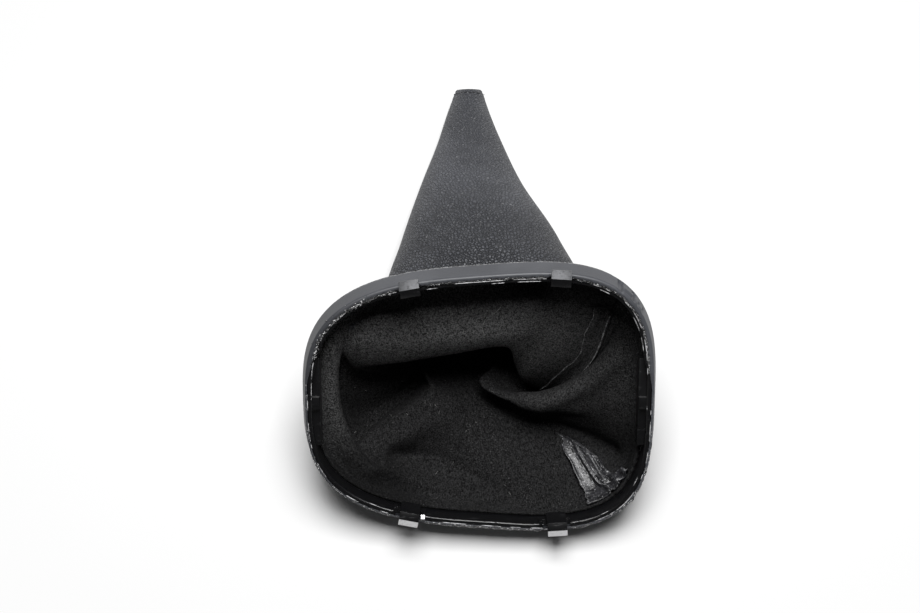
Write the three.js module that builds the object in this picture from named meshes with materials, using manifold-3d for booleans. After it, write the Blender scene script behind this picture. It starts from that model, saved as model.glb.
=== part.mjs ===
// Gear lever gaiter: a sewn leather boot on a plastic clip frame, lying on its side as it comes to
// rest off the car. Millimetres, +Z up, the table at Z = 0, the neck pointing along +Y.
import * as THREE from 'three';
import { mergeVertices } from 'three/addons/utils/BufferGeometryUtils.js';
import Module from 'manifold-3d';

const wasm = await Module();
wasm.setup();

// Frame ring, seen square on to its rim: a rounded outline that is wider at the right-hand end
const innerLength = 125.8;
const innerWidthLeft = 84.4;
const innerWidthRight = 102.8;
const squarenessLeft = 3.1;
const squarenessRight = 3.4;
const frameDepth = 12.3;
const wallThickness = 1.4;
const wallFlare = 1.8;
const clearance = 0.25;

// Covering round the outside wall
const wrapThickness = 0.85;
const wrapLip = 2.2;

// Snap hooks on the rim, and the slots beside them
const hookWidth = 7.4;
const hookReach = 3.9;
const hookRise = 4.8;
const hookLip = 2.7;
const catchHeight = 2.2;
const hookRoot = 7;
const hookStem = 2.1;
const slotWidth = 1.6;
const slotDepth = 5;
const hookPlaces = [[-25.6, 1], [29.7, 1], [-26.5, -1], [29.8, -1]];
const ribWidth = 1.3;
const ribPlaces = [[-21.2, -1], [-32.2, -1], [23.6, -1]];

// Shelf and locating block at each short end
const shelfLength = 34;
const shelfThickness = 2.6;
const shelfStart = 2.6;
const blockWidth = 4.6;
const blockHeight = 1.8;

// Boot
const leather = 1.3;
const marginDepth = 3.4;
const seamGap = 0.3;
const allowanceThickness = 1.1;
const neckRadius = 5.7;
const neckHem = 0.45;
const upperSeam = 7;
const lowerSeam = 57;

// Length of one unit of the folds and body sections below
const foldUnit = 1;

// How it lies: the ring leans back from the table on to the boot
const lean = THREE.MathUtils.degToRad(39);
const neckReach = 162;
const neckOffset = -3.1;

const columns = 64;
const rowsPerSpan = 3;
const ringSteps = 96;

const leatherLook = { color: 0x2e2f31, roughness: 0.62, metalness: 0 };
const looks = {
  clip_frame: { color: 0x111213, roughness: 0.35, metalness: 0 },
  frame_wrap: { color: 0x3a3b3e, roughness: 0.5, metalness: 0 },
  main_panel: leatherLook,
  end_panel: leatherLook,
};

// Point of the outline at a turn from 0 to 1, counter-clockwise from the middle of the right-hand end
function squircle(turn) {
  const angle = turn * 2 * Math.PI;
  const power = 2 / (Math.cos(angle) > 0 ? squarenessRight : squarenessLeft);
  const along = Math.sign(Math.cos(angle)) * Math.abs(Math.cos(angle)) ** power;
  const across = Math.sign(Math.sin(angle)) * Math.abs(Math.sin(angle)) ** power;
  const width = THREE.MathUtils.lerp(innerWidthLeft, innerWidthRight, (along + 1) / 2);
  return new THREE.Vector2(along * innerLength / 2, across * width / 2);
}

// The same outline with even steps along its length
function evenOutline(count) {
  const fine = Array.from({ length: 1440 }, (_, i) => squircle(i / 1440));
  const curve = new THREE.Shape(fine);
  curve.autoClose = true;
  return curve.getSpacedPoints(count).slice(0, count);
}

function shifted(points, offset) {
  return points.map((p, i) => {
    const before = points[(i + points.length - 1) % points.length];
    const after = points[(i + 1) % points.length];
    const along = after.clone().sub(before).normalize();
    return new THREE.Vector2(p.x + along.y * offset, p.y - along.x * offset);
  });
}

function closedMesh(positions, faces) {
  const geometry = new THREE.BufferGeometry();
  geometry.setAttribute('position', new THREE.Float32BufferAttribute(positions, 3));
  geometry.setIndex(faces);
  return geometry;
}

// A closed section of (offset outwards, depth behind the rim) swept round the ring
function sweptRing(section) {
  const base = evenOutline(ringSteps);
  const rails = section.map(([offset]) => shifted(base, offset));
  const positions = [];
  const faces = [];
  const size = section.length;
  for (let i = 0; i < ringSteps; i++) {
    section.forEach(([, depth], k) => positions.push(rails[k][i].x, rails[k][i].y, -depth));
    const next = (i + 1) % ringSteps;
    for (let k = 0; k < size; k++) {
      const k2 = (k + 1) % size;
      const [a, b, c, d] = [i * size + k, next * size + k, next * size + k2, i * size + k2];
      faces.push(a, c, b, a, d, c);
    }
  }
  return closedMesh(positions, faces);
}

function toSolid(geometry) {
  const plain = geometry.clone();
  plain.deleteAttribute('normal');
  plain.deleteAttribute('uv');
  const merged = mergeVertices(plain, 1e-4);
  return new wasm.Manifold(new wasm.Mesh({
    numProp: 3,
    vertProperties: new Float32Array(merged.attributes.position.array),
    triVerts: new Uint32Array(merged.index.array),
  }));
}

function toGeometry(solid) {
  const mesh = solid.getMesh();
  return closedMesh(Array.from(mesh.vertProperties), Array.from(mesh.triVerts));
}

// Height of the inner edge line at a place along the ring, on the upper or lower side
function edgeAt(x) {
  const along = Math.min(0.98, Math.abs(2 * x / innerLength));
  const power = x > 0 ? squarenessRight : squarenessLeft;
  const width = THREE.MathUtils.lerp(innerWidthLeft, innerWidthRight, (2 * x / innerLength + 1) / 2);
  return width / 2 * (1 - along ** power) ** (1 / power);
}

// Moves a piece drawn for the upper side at x = 0 to its place on the ring, turned to follow the wall
function seat(geometry, x, side) {
  const slope = Math.atan2(edgeAt(x + 1) - edgeAt(x - 1), 2);
  geometry.rotateZ(slope);
  geometry.translate(x, edgeAt(x), 0);
  if (side < 0) {
    geometry.rotateX(Math.PI);
    geometry.scale(1, 1, -1);
    const order = geometry.index.array;
    for (let i = 0; i < order.length; i += 3) [order[i], order[i + 1]] = [order[i + 1], order[i]];
  }
  return geometry;
}

function profileBlock(points, width) {
  const shape = new THREE.Shape(points.map(([out, up]) => new THREE.Vector2(out, up)));
  const block = new THREE.ExtrudeGeometry(shape, { depth: width, bevelEnabled: false });
  block.translate(0, 0, -width / 2);
  // the profile's outward axis becomes +Y and its upward axis +Z
  block.applyMatrix4(new THREE.Matrix4().makeBasis(
    new THREE.Vector3(0, 1, 0), new THREE.Vector3(0, 0, 1), new THREE.Vector3(1, 0, 0)));
  return mergeVertices(block.deleteAttribute('normal').deleteAttribute('uv'), 1e-4);
}

function box(width, height, depth, x, y, z) {
  const block = new THREE.BoxGeometry(width, height, depth);
  block.translate(x, y, z);
  return block;
}

function clipFrame() {
  const outerBack = wallThickness + wallFlare;
  let frame = toSolid(sweptRing([
    [0, 0.3], [0.3, 0], [wallThickness, 0], [outerBack, frameDepth - 2.6],
    [outerBack - 0.9, frameDepth], [0, frameDepth],
  ]));
  const hook = [
    [-hookStem, -hookRoot], [0.2, -hookRoot], [0.9, 0], [0.9, catchHeight], [hookReach, catchHeight],
    [hookReach, hookLip], [0.9, hookRise], [-hookStem, hookRise - 0.6],
  ];
  for (const [x, side] of hookPlaces) {
    const gap = hookWidth / 2 + slotWidth / 2;
    for (const away of [-gap, gap]) {
      const slot = box(slotWidth, 2 * wallThickness + 1.2, 2 * slotDepth, away, wallThickness / 2, 0);
      frame = frame.subtract(toSolid(seat(slot, x, side)));
    }
    frame = frame.add(toSolid(seat(profileBlock(hook, hookWidth), x, side)));
  }
  for (const [x, side] of ribPlaces) {
    const rib = box(ribWidth, 1.6, 4.4, 0, -0.6, -1.9);
    frame = frame.add(toSolid(seat(rib, x, side)));
  }
  for (const end of [-1, 1]) {
    const depth = frameDepth - marginDepth - clearance - shelfStart;
    const shelf = box(shelfThickness + 1, shelfLength, depth,
      end * (innerLength / 2 - shelfThickness / 2 + 0.1), 0, -shelfStart - depth / 2);
    const block = box(shelfThickness + 0.6, blockWidth, blockHeight + 1,
      end * (innerLength / 2 - shelfThickness / 2 + 0.1), 0, -shelfStart + blockHeight / 2 - 0.5);
    frame = frame.add(toSolid(shelf)).add(toSolid(block));
  }
  return toGeometry(frame);
}

const wrapInside = wallThickness + clearance;
const wrapOutside = wrapInside + wrapThickness + wallFlare;
const wrapBack = frameDepth + clearance;
const wrapSection = [
  [wrapInside, 0], [wrapInside + wrapThickness, 0], [wrapOutside, frameDepth - 2.4],
  [wrapOutside - 0.5, frameDepth - 0.4], [wrapOutside - 1.8, wrapBack + wrapThickness],
  [wrapOutside - wrapLip - 1.6, wrapBack + wrapThickness], [wrapOutside - wrapLip - 1.6, wrapBack],
  [wrapInside + wallFlare - 0.75, wrapBack], [wrapInside + wallFlare, frameDepth - 2.6],
];

// Height of the ring's centre that sets its lowest edge on the table
const ringHeight = Math.max(...wrapSection.map(([offset, depth]) => {
  const reach = Math.max(...shifted(evenOutline(ringSteps), offset).map((p) => -p.y));
  return reach * Math.sin(lean) + depth * Math.cos(lean);
}));

// From the ring's own axes (along, across, depth behind the rim) to the table's
function fromRing(along, across, depth) {
  return new THREE.Vector3(
    along,
    across * Math.cos(lean) + depth * Math.sin(lean),
    ringHeight + across * Math.sin(lean) - depth * Math.cos(lean));
}

// The leather as it lies inside the ring, at stations round it: where the station is (a share of the
// way round), two points of the fold that face the opening and the lip at the throat, each as along,
// across and depth in the ring's axes, and the turn round the boot's body that it runs on to
const stations = [
  { name: 'right ridge', at: 0.02, fold: [[57, 12, 17], [27, -7, 25], [2, -2, 34]], turn: -62 },
  { name: 'right upper', at: 0.056, fold: [[55, 22, 19], [43, 6, 28], [28, -12, 42]], turn: -44 },
  { name: 'upper seam', at: 0.109, fold: [[50, 30, 18.5], [43, 10, 26], [27, -7, 41]], turn: -16 },
  { name: 'top right', at: 0.152, fold: [[36, 34, 18], [31, 17, 21.5], [18, 0, 34]], turn: 10 },
  { name: 'roll end', at: 0.193, fold: [[22, 35, 18], [21, 22, 19.5], [15, 7, 31]], turn: 38 },
  { name: 'roll right', at: 0.225, fold: [[11, 35, 20], [11, 23, 17], [11, 17, 22]], turn: 66 },
  { name: 'roll middle', at: 0.282, fold: [[-11, 34, 21], [-11, 21, 16.5], [-11, 14, 22]], turn: 90 },
  { name: 'roll left', at: 0.329, fold: [[-29, 33, 20], [-29, 19, 16.5], [-29, 11, 22]], turn: 112 },
  { name: 'upper left', at: 0.385, fold: [[-46, 29, 18], [-51, 18, 16.5], [-47, 8, 24]], turn: 134 },
  { name: 'left upper', at: 0.428, fold: [[-55, 18, 14.5], [-51, 6, 29], [-33, 1, 42]], turn: 156 },
  { name: 'left', at: 0.5, fold: [[-57, -1, 15], [-51, -7, 33], [-27, -1, 46]], turn: 178 },
  { name: 'left lower', at: 0.548, fold: [[-55, -13, 15.5], [-48, -18, 36], [-22, -2, 48]], turn: 200 },
  { name: 'left hump', at: 0.586, fold: [[-49, -26, 16.5], [-42, -21, 27], [-19, -5, 34]], turn: 216 },
  { name: 'lower left', at: 0.625, fold: [[-42, -34, 18], [-34, -26, 27], [-17, -7, 34]], turn: 232 },
  { name: 'hump', at: 0.67, fold: [[-27, -42, 18.5], [-23, -28, 28], [-13, -9, 35]], turn: 246 },
  { name: 'bottom', at: 0.735, fold: [[-6, -43, 19], [-4, -28, 30], [-2, -10, 38]], turn: 257 },
  { name: 'bottom right', at: 0.8, fold: [[16, -45, 19], [14, -29, 30], [7, -12, 39]], turn: 266 },
  { name: 'bottom corner', at: 0.845, fold: [[35, -43, 18.5], [26, -31, 29.5], [13, -14, 38.5]], turn: 270 },
  { name: 'lower seam', at: 0.893, fold: [[50, -38, 17.5], [37, -23, 30], [21, -15, 37.5]], turn: 276 },
  { name: 'lower right', at: 0.93, fold: [[59, -28, 19], [46, -23, 29.5], [22, -14, 36.5]], turn: 284 },
  { name: 'right face', at: 0.968, fold: [[59, -11, 16], [42, -13, 25.5], [10, -6, 35]], turn: 292 },
];

// The boot's body behind the ring: reach from the ring, sideways offset, half width and height
const body = [
  { reach: 0.33, offset: 2.5, half: 39.5, height: 45 },
  { reach: 0.5, offset: 1.3, half: 32.5, height: 39 },
  { reach: 0.69, offset: -2.2, half: 21.2, height: 27.5 },
  { reach: 0.83, offset: -2.9, half: 13.8, height: 19.5 },
  { reach: 0.94, offset: neckOffset, half: 8, height: 14.2 },
  { reach: 1, offset: neckOffset, half: neckRadius, height: 2 * neckRadius + 1.4 },
];

// Smooth value round the closed loop of stations
function aroundStations(at, pick) {
  const count = stations.length;
  let left = count - 1;
  while (left > 0 && stations[left].at > at) left--;
  if (at < stations[0].at) left = count - 1;
  const place = (i) => stations[(i + 2 * count) % count].at + Math.floor(i / count);
  const value = (i) => pick(stations[(i + 2 * count) % count], Math.floor(i / count));
  const here = at < stations[0].at ? at + 1 : at;
  const span = place(left + 1) - place(left);
  const t = (here - place(left)) / span;
  const slope = (i) => (value(i + 1) - value(i - 1)) / (place(i + 1) - place(i - 1)) * span;
  const [h00, h10, h01, h11] = [2 * t ** 3 - 3 * t * t + 1, t ** 3 - 2 * t * t + t,
    3 * t * t - 2 * t ** 3, t ** 3 - t * t];
  return h00 * value(left) + h10 * slope(left) + h01 * value(left + 1) + h11 * slope(left + 1);
}

function bodyPoint(section, degrees) {
  const angle = THREE.MathUtils.degToRad(degrees);
  const { reach, offset, half, height } = section;
  const floor = leather / 2;
  const tall = foldUnit * height - floor;
  const z = floor + tall * 0.45 + tall * 0.55 * Math.sin(angle);
  const along = foldUnit * (offset + half * Math.cos(angle));
  return new THREE.Vector3(along, reach * neckReach, Math.max(floor, z));
}

const marginRail = (at, inset) => {
  const rail = shifted(evenOutline(columns * 4), -inset);
  const exact = ((at % 1) + 1) % 1 * rail.length;
  const i = Math.floor(exact);
  return rail[i % rail.length].clone().lerp(rail[(i + 1) % rail.length], exact - i);
};

// Path of the leather from its glued margin to the neck, at a share of the way round the ring
function strand(at) {
  const glued = clearance + leather / 2;
  const start = marginRail(at, glued);
  const bend = marginRail(at, glued + 0.6);
  const fold = [0, 1, 2].map((k) => fromRing(...[0, 1, 2].map(
    (axis) => foldUnit * aroundStations(at, (station) => station.fold[k][axis]))));
  const degrees = aroundStations(at, (station, lap) => station.turn + 360 * lap);
  const first = bodyPoint(body[0], degrees);
  const tuck = fold[2].clone().lerp(first, 0.25);
  tuck.z -= 4 * foldUnit * Math.max(0, Math.sin(THREE.MathUtils.degToRad(degrees)));
  const points = [
    fromRing(start.x, start.y, frameDepth - marginDepth),
    fromRing(bend.x, bend.y, frameDepth + 0.3),
    ...fold, tuck, ...body.map((section) => bodyPoint(section, degrees)),
  ];
  points.forEach((p) => { p.z = Math.max(p.z, leather / 2); });
  return new THREE.CatmullRomCurve3(points, false, 'centripetal');
}

// Middle surface of the boot as a grid of points: one strand a column
function bootGrid(places) {
  const strands = places.map(strand);
  const spans = strands[0].points.length - 1;
  const rows = spans * rowsPerSpan;
  return strands.map((curve) => Array.from({ length: rows + 1 }, (_, row) => {
    const point = curve.getPoint(row / rows);
    point.z = Math.max(point.z, leather / 2);
    return point;
  }));
}

// A panel: the grid between two seams, given its thickness, with allowances along both seams
function panel(fromColumn, toColumn) {
  const places = [];
  for (let c = fromColumn - 1; c <= toColumn + 1; c++) places.push((((c / columns) % 1) + 1) % 1);
  const grid = bootGrid(places);
  const last = grid[0].length - 1;
  const count = grid.length - 2;
  const outer = [];
  const inner = [];
  for (let c = 1; c <= count; c++) {
    const fromSeam = Math.min(c - 1, count - c);
    for (let r = 0; r <= last; r++) {
      const across = grid[c + 1][r].clone().sub(grid[c - 1][r]).normalize();
      const along = grid[c][Math.min(last, r + 1)].clone().sub(grid[c][Math.max(0, r - 1)]).normalize();
      const normal = across.clone().cross(along).normalize();
      const middle = grid[c][r].clone();
      if (c === 1) middle.addScaledVector(across, seamGap / 2);
      if (c === count) middle.addScaledVector(across, -seamGap / 2);
      const hem = r >= last - 1 ? neckHem : 0;
      const fold = fromSeam <= 1 && r > rowsPerSpan && r <= 3 * rowsPerSpan ? allowanceThickness : 0;
      outer.push(middle.clone().addScaledVector(normal, leather / 2 + hem));
      inner.push(middle.clone().addScaledVector(normal, -leather / 2 - fold));
    }
  }
  outer.forEach((p) => { p.z = Math.max(p.z, 0); });
  inner.forEach((p, i) => { p.z = Math.max(p.z, outer[i].z < 0.01 ? leather : 0.02); });
  const positions = [...outer, ...inner].flatMap((p) => [p.x, p.y, p.z]);
  const faces = [];
  const height = last + 1;
  const shift = outer.length;
  const quad = (a, b, c, d) => faces.push(a, b, c, a, c, d);
  for (let c = 0; c < count - 1; c++) {
    for (let r = 0; r < last; r++) {
      const [a, b, d, e] = [c * height + r, (c + 1) * height + r, (c + 1) * height + r + 1, c * height + r + 1];
      quad(a, b, d, e);
      quad(shift + a, shift + e, shift + d, shift + b);
    }
    const end = c * height + last;
    quad(c * height, shift + c * height, shift + (c + 1) * height, (c + 1) * height);
    quad(end, end + height, shift + end + height, shift + end);
  }
  for (let r = 0; r < last; r++) {
    const far = (count - 1) * height + r;
    quad(r, r + 1, shift + r + 1, shift + r);
    quad(far, shift + far, shift + far + 1, far + 1);
  }
  return closedMesh(positions, faces);
}

function named(name, geometry) {
  geometry.computeVertexNormals();
  const mesh = new THREE.Mesh(geometry, new THREE.MeshStandardMaterial(looks[name]));
  mesh.name = name;
  return mesh;
}

const gaiter = new THREE.Group();
const ring = new THREE.Group();
ring.rotation.x = lean;
ring.position.z = ringHeight;
ring.add(named('clip_frame', clipFrame()), named('frame_wrap', sweptRing(wrapSection)));
gaiter.add(ring, named('main_panel', panel(upperSeam, lowerSeam)),
  named('end_panel', panel(lowerSeam, columns + upperSeam)));

// The origin is the middle of the part's box, on the table
const bounds = new THREE.Box3().setFromObject(gaiter, true);
gaiter.position.y = -(bounds.min.y + bounds.max.y) / 2;

export default gaiter;
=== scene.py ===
import math
import random

import bpy
import numpy as np
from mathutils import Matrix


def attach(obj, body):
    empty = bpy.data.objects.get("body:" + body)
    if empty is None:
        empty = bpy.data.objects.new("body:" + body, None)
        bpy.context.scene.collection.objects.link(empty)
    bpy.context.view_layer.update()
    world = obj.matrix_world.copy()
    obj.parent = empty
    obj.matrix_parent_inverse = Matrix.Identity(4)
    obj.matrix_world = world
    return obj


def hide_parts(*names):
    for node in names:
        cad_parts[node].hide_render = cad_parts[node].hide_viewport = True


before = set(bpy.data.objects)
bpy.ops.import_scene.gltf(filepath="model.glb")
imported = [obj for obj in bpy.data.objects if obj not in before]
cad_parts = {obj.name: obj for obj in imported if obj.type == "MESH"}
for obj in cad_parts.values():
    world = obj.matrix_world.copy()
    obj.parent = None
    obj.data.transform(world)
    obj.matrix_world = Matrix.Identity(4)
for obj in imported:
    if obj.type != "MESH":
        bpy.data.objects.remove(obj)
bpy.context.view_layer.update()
random.seed(7)
noise = np.random.default_rng(7)
print("frame loaded")

# How the gaiter lies, in millimetres and degrees, as its solids do
lie = {"lean": 39.0, "ringHeight": 42.193, "shift": -60.039}
ring = {
    "innerLength": 125.8, "widthLeft": 84.4, "widthRight": 102.8,
    "squareLeft": 3.1, "squareRight": 3.4, "depth": 12.3,
    "wall": 1.4, "flare": 1.8, "clearance": 0.25,
    # the hooks' middles: along the ring, and which long side
    "hooks": [(-25.6, 1), (29.7, 1), (-26.5, -1), (29.8, -1)],
}
wrap = {
    "thickness": 0.85, "lip": 2.2, "steps": 1180, "sectionStep": 0.7, "foldTo": 0.72, "flat": (0.396, 0.0166),
    "jag": (-0.45, 0.6), "wallSwell": 0.015,
    # stretches that stand proud or are slit: start, end, from and to which depth, height
    "patches": [(0.1075, 0.1185, 1.2, 4.4, 0.8), (0.1195, 0.1225, 0.2, 8.5, -1.9), (0.1045, 0.1068, 0.6, 9.0, -1.9),
                (0.094, 0.104, 0.6, 5.0, 0.35), (0.0915, 0.0925, 0.3, 6.0, -0.6), (0.0985, 0.0993, 0.4, 4.0, -0.5),
                (0.8885, 0.8895, 0.2, 6.0, -0.7), (0.882, 0.8875, 0.6, 3.6, 0.3), (0.924, 0.9252, 0.3, 8.0, -0.7)],
}
boot = {
    "leather": 1.3, "marginDepth": 3.4, "marginGap": 0.03, "marginTurn": 0.6, "turnPast": 0.3,
    "tuckShare": 0.75, "tuckDrop": 4, "neckReach": 162.0, "rimSlant": 4.2,
    # the box round the pointed fold's tip, which is fleece on both faces
    "foldTip": ((-6, -50, 6), (24, -30, 24)),
    "columns": 64, "upperSeam": 7, "lowerSeam": 56.8, "columnsPerStep": 5, "rowsPerSpan": 16, "endGap": 0.02,
    "seamPinch": 0.55, "pinchWidth": 1.1, "hem": 0.1, "hemWidth": 6.0, "rimRounding": 0.3, "rimRoundingWidth": 0.5,
    "mainFlat": (0.31, 0.2), "mainArea": 0.0285, "endFlat": (0.09, 0.2), "endArea": 0.0085,
}
# How the leather runs: share of the way round, three points of its fold on the ring, degrees round the body
stations = [
    (0.02, (57, 12, 17), (27, -7, 25), (2, -2, 34), -62),
    (0.056, (55, 22, 19), (43, 6, 28), (28, -12, 42), -44),
    (0.109, (50, 30, 18.5), (43, 10, 26), (27, -7, 41), -16),
    (0.152, (36, 34, 18), (31, 17, 21.5), (18, 0, 34), 10),
    (0.193, (22, 35, 18), (21, 22, 19.5), (15, 7, 31), 38),
    (0.225, (11, 35, 20), (11, 23, 17), (11, 17, 22), 66),
    (0.282, (-11, 34, 21), (-11, 21, 16.5), (-11, 14, 22), 90),
    (0.329, (-29, 33, 20), (-29, 19, 16.5), (-29, 11, 22), 112),
    (0.385, (-46, 29, 18), (-51, 18, 16.5), (-47, 8, 24), 134),
    (0.428, (-55, 18, 14.5), (-51, 6, 29), (-33, 1, 42), 156),
    (0.5, (-57, -1, 15), (-51, -7, 33), (-27, -1, 46), 178),
    (0.548, (-55, -13, 15.5), (-48, -18, 36), (-22, -2, 48), 200),
    (0.586, (-49, -26, 16.5), (-42, -21, 27), (-19, -5, 34), 216),
    (0.625, (-42, -34, 18), (-34, -26, 27), (-17, -7, 34), 232),
    (0.67, (-27, -42, 18.5), (-23, -28, 28), (-13, -9, 35), 246),
    (0.735, (-6, -43, 19), (-4, -28, 30), (-2, -10, 38), 257),
    (0.8, (16, -45, 19), (14, -29, 30), (7, -12, 39), 266),
    (0.845, (35, -43, 18.5), (26, -31, 29.5), (13, -14, 38.5), 270),
    (0.893, (50, -38, 17.5), (37, -23, 30), (21, -15, 37.5), 276),
    (0.93, (59, -28, 19), (46, -23, 29.5), (22, -14, 36.5), 284),
    (0.968, (59, -11, 16), (42, -13, 25.5), (10, -6, 35), 292),
]
# The body behind the ring: reach, sideways offset, half width, height, how far its sides are pinched flat
bodySections = [
    (0.33, 2.5, 39.5, 45, 0), (0.5, 1.3, 32.5, 39, 0), (0.69, -2.2, 21.2, 27.5, 0), (0.83, -2.9, 13.8, 19.5, 0.1),
    (0.93, -3.4, 8.9, 15.0, 0.5), (1, -3.1, 5.3, 12.9, 1),
]
# Soft folds pressed into the leather, seen on its fleece side: height, reach, points along each on the table
creases = [
    (4.2, 6.0, [(-41, -69, 6), (-31, -59, 6), (-23, -53, 5), (-16, -48, 5)]),
    (3.8, 8.5, [(-10, -57, 4), (0, -64, 1), (13, -72, 1), (26, -78, 1)]),
    (3.2, 4.5, [(-42, -76, 7), (-33, -75, 3), (-23, -77, 1), (-12, -82, 1)]),
    (-3.2, 3.2, [(-34, -66, 4), (-25, -66, 3), (-15, -69, 1), (-9, -73, 1), (-3, -78, 1), (7, -83, 1)]),
    (-3.2, 2.6, [(-54, -37, 33), (-54, -42, 23), (-53, -49, 14), (-50, -57, 9), (-46, -66, 10), (-42, -72, 7)]),
    (2.4, 4.0, [(-57, -38, 42), (-57, -47, 35), (-57, -54, 27), (-54, -62, 20), (-50, -69, 14), (-44, -75, 8)]),
    (-3.4, 2.6, [(-48, -59, 9), (-43, -52, 3), (-35, -45, 2), (-26, -37, 2)]),
    (2.2, 3.0, [(18, -48, 17), (24, -50, 17), (32, -49, 21), (43, -46, 27), (54, -38, 36)]),
    (-3.2, 3.6, [(5, -41, 5), (15, -47, 3), (27, -53, 4), (40, -60, 5), (53, -66, 6)]),
    (4.6, 8.0, [(-48, -27, 44), (-30, -24, 46), (-11, -21, 47), (8, -20, 48), (20, -21, 48)]),
    (-3.6, 4.5, [(-51, -30, 51), (-44, -26, 52), (-34, -22, 53), (-23, -20, 54), (-7, -19, 55), (8, -18, 56),
                 (23, -18, 58)]),
    (-2.6, 6.0, [(38, -17, 58), (46, -19, 57), (53, -23, 56), (57, -28, 52)]),
]
leanAngle = math.radians(lie["lean"])


# Shader maths: a wire is one socket, a finish is one material
class Wire:
    def __init__(self, finish, socket):
        self.finish, self.socket = finish, socket

    def __add__(self, other): return self.finish.maths("ADD", self, other)
    def __radd__(self, other): return self.finish.maths("ADD", other, self)
    def __sub__(self, other): return self.finish.maths("SUBTRACT", self, other)
    def __rsub__(self, other): return self.finish.maths("SUBTRACT", other, self)
    def __mul__(self, other): return self.finish.maths("MULTIPLY", self, other)
    def __rmul__(self, other): return self.finish.maths("MULTIPLY", other, self)

    def between(self, low, high):
        return self.finish.node("ShaderNodeMapRange", {"interpolation_type": "SMOOTHSTEP"},
                                {"Value": self, "From Min": low, "From Max": high})


class Finish:
    def __init__(self, name, owners=bpy.data.materials, shader="Principled BSDF"):
        self.material = owners.new(name)
        self.material.use_nodes = True
        self.tree = self.material.node_tree
        self.shader = self.tree.nodes[shader]

    def node(self, kind, settings, sockets, out=0):
        made = self.tree.nodes.new(kind)
        for key, value in settings.items():
            setattr(made, key, value)
        for key, value in sockets.items():
            self.feed(made.inputs[key], value)
        return Wire(self, made.outputs[out])

    def feed(self, socket, value):
        if isinstance(value, Wire):
            self.tree.links.new(value.socket, socket)
        else:
            socket.default_value = value

    def set(self, **values):
        for key, value in values.items():
            self.feed(self.shader.inputs[key.replace("_", " ")], value)
        return self.material

    def maths(self, operation, first, second):
        return self.node("ShaderNodeMath", {"operation": operation}, {0: first, 1: second})

    def place(self, kind="Object"):
        return self.node("ShaderNodeTexCoord", {}, {}, kind)

    def scaled(self, vector, scale, turn=(0, 0, 0)):
        return self.node("ShaderNodeMapping", {}, {"Vector": vector, "Scale": scale, "Rotation": turn})

    def grain(self, vector, scale, detail=3.0, roughness=0.55, out=0):
        return self.node("ShaderNodeTexNoise", {}, {"Vector": vector, "Scale": scale, "Detail": detail,
                                                   "Roughness": roughness}, out)

    def pebbles(self, vector, scale, smooth):
        return self.node("ShaderNodeTexVoronoi", {"feature": "SMOOTH_F1"},
                         {"Vector": vector, "Scale": scale, "Smoothness": smooth})

    def axis(self, vector, number):
        return self.node("ShaderNodeSeparateXYZ", {}, {0: vector}, number)

    def mix(self, factor, first, second):
        return self.node("ShaderNodeMix", {"data_type": "RGBA"}, {0: factor, 6: first, 7: second}, 2)

    def bump(self, height, distance, strength):
        return self.node("ShaderNodeBump", {}, {"Height": height, "Distance": distance, "Strength": strength})


def leatherOutside():
    f = Finish("pebbled_leather")
    at = f.place()
    broad = f.grain(at, 34)
    push = f.node("ShaderNodeVectorMath", {"operation": "SCALE"}, {0: f.grain(at, 500, 2.0, out=1), "Scale": 0.0007})
    warp = f.node("ShaderNodeVectorMath", {"operation": "ADD"}, {0: at, 1: push})
    cracks = f.node("ShaderNodeTexVoronoi", {"feature": "DISTANCE_TO_EDGE"}, {"Vector": warp, "Scale": 760})
    pebble = cracks.between(0.01, 0.24)
    plain = f.axis(at, 1).between(-0.02, 0.075)
    small = f.pebbles(at, 1500, 0.5)
    fine = f.grain(at, 3200, 2.0)
    height = pebble * 0.8 - small * 0.3 + fine * 0.12
    worn = f.grain(at, 120, 4.0, 0.65).between(0.5, 0.75)
    colour = f.mix(broad.between(0.35, 0.7), (0.05, 0.0521, 0.059, 1), (0.08, 0.0831, 0.0935, 1))
    colour = f.mix((1 - pebble) * (0.75 - 0.4 * plain), colour, (0.006, 0.0063, 0.0074, 1))
    colour = f.mix(worn * 0.3, colour, (0.07, 0.0725, 0.079, 1))
    return f.set(Base_Color=colour, Roughness=0.4 + broad * 0.1 - pebble * 0.05 + worn * 0.06,
                 Specular_IOR_Level=0.42, Normal=f.bump(height * (1 - 0.45 * plain), 0.00075, 1.0))


# The boot's inner side, with painted light: paler higher up, dark again right under the ring's upper wall and less
# on the right; and painted shade at the left front
def fleeceInside():
    f = Finish("brushed_fleece")
    at = f.place()
    broad = f.grain(at, 60, 4.0, 0.6)
    hairs = f.grain(at, 1900, 3.0, 0.75)
    tufts = f.grain(at, 700, 3.0, 0.6)
    fibres = f.grain(f.scaled(at, (1, 0.3, 1), (0, 0, 0.5)), 2600, 2.0, 0.7)
    lint = f.grain(at, 1900, 1.0, 0.5).between(0.68, 0.76) * broad.between(0.45, 0.6)
    level = (hairs * 0.55 + fibres * 0.3 + tufts * 0.15).between(0.38, 0.64)
    right, back, high = (f.axis(at, k) for k in (0, 1, 2))
    # painted light: paler with height, dark again above about 50 mm under the ring's upper wall, less on the right
    paintedLight = high.between(0.008, 0.042) * (1 - high.between(0.049, 0.057)) * (1 - 0.75 * right.between(0.025, 0.05))
    # painted shade: darker at the left front
    low = (1 - right.between(-0.038, -0.012)) * (1 - back.between(-0.078, -0.062))
    nap = f.mix(paintedLight, (0.028, 0.028, 0.0285, 1), (0.104, 0.104, 0.1045, 1))
    nap = f.mix(low * 0.75, nap, (0.01, 0.01, 0.0102, 1))
    colour = f.mix(level, (0.001, 0.001, 0.0011, 1), nap)
    colour = f.mix(lint * 0.35, colour, (0.16, 0.16, 0.16, 1))
    return f.set(Base_Color=colour, Roughness=0.95, Specular_IOR_Level=0.06,
                 Normal=f.bump(hairs * 0.5 + tufts * 0.5 + fibres * 0.3, 0.0009, 0.8))


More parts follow.
